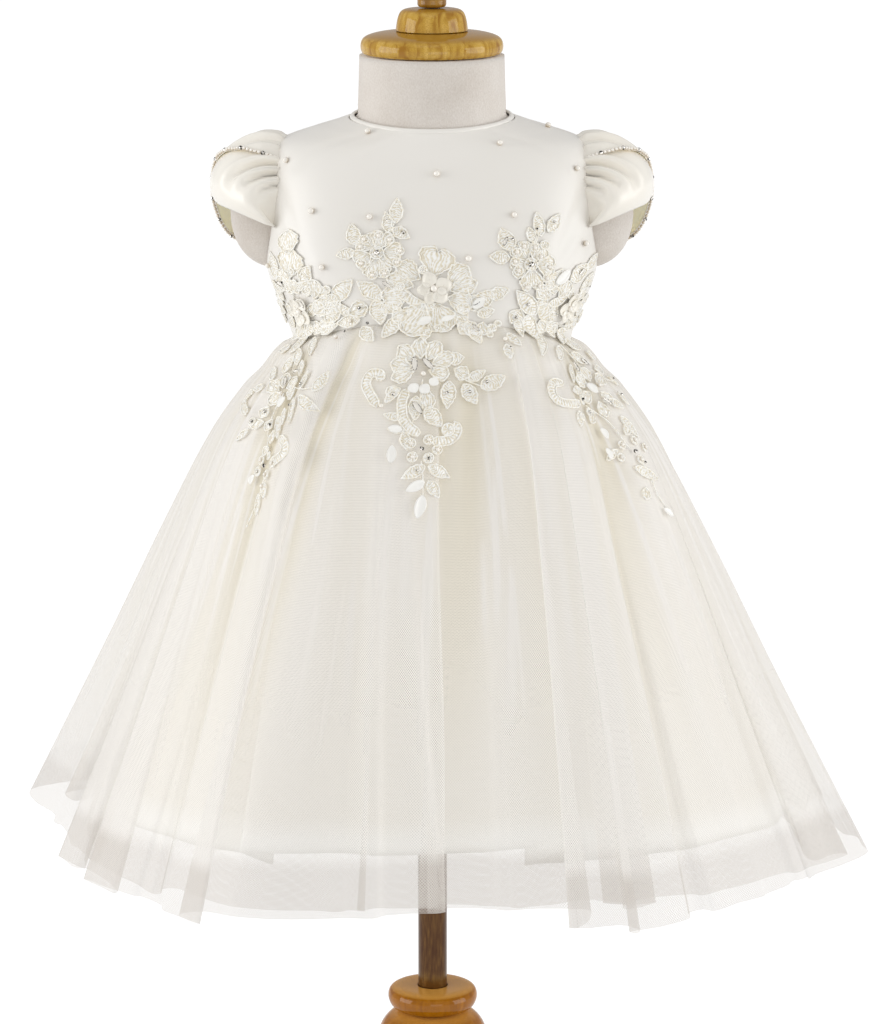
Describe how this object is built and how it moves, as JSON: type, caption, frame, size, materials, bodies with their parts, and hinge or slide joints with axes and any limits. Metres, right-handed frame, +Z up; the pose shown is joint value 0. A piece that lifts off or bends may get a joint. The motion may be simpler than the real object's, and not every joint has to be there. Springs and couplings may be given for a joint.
{
  "type": "party dress on a dress form",
  "caption": "Toddler's high-waisted party dress in satin, tulle and beaded lace with petal cap sleeves, on a limbless child dress form with turned wooden neck cap and stand.",
  "frame": {"origin": "middle of the stand's foot, on its underside", "axes": "+Z up the pole, -Y towards the dress's front, +X towards the wearer's left"},
  "size_m": [0.484, 0.3761, 0.7496],
  "materials": {
    "satin": "ivory duchess satin with a soft sheen",
    "tulle": "ivory soft tulle, sheer",
    "lace": "ivory corded lace with pearls, sequins and crystals",
    "jersey": "pale matt knitted cover",
    "lacquered_wood": "golden brown, clear lacquer",
    "bronzed_steel": "dark bronze, semi-gloss",
    "pearl_button": "pearl"
  },
  "bodies": {
    "root": {"form_torso": "jersey", "cap_disc": "lacquered_wood", "cap_dome": "lacquered_wood", "cap_knob": "lacquered_wood", "pole": "bronzed_steel", "stand_bead": "lacquered_wood", "stand_vase": "lacquered_wood", "stand_foot": "lacquered_wood", "bodice_front": "satin", "bodice_back_left": "satin", "bodice_back_right": "satin", "neck_binding": "satin", "back_placket": "satin", "back_button_1": "pearl_button", "back_button_2": "pearl_button", "back_button_3": "pearl_button", "back_button_4": "pearl_button", "back_button_5": "pearl_button", "sleeve_left_front_petal": "satin", "sleeve_left_back_petal": "satin", "sleeve_right_front_petal": "satin", "sleeve_right_back_petal": "satin", "underskirt_front": "satin", "underskirt_back_left": "satin", "underskirt_back_right": "satin", "overskirt_tulle_inner": "tulle", "overskirt_tulle_outer": "tulle", "lace_bodice_right": "lace", "lace_bodice_centre": "lace", "lace_bodice_left": "lace", "lace_drop_centre": "lace", "lace_drop_right": "lace", "lace_drop_left": "lace", "rosette_centre": "satin", "rosette_right": "satin", "rosette_left": "satin"}
  },
  "joints": []
}
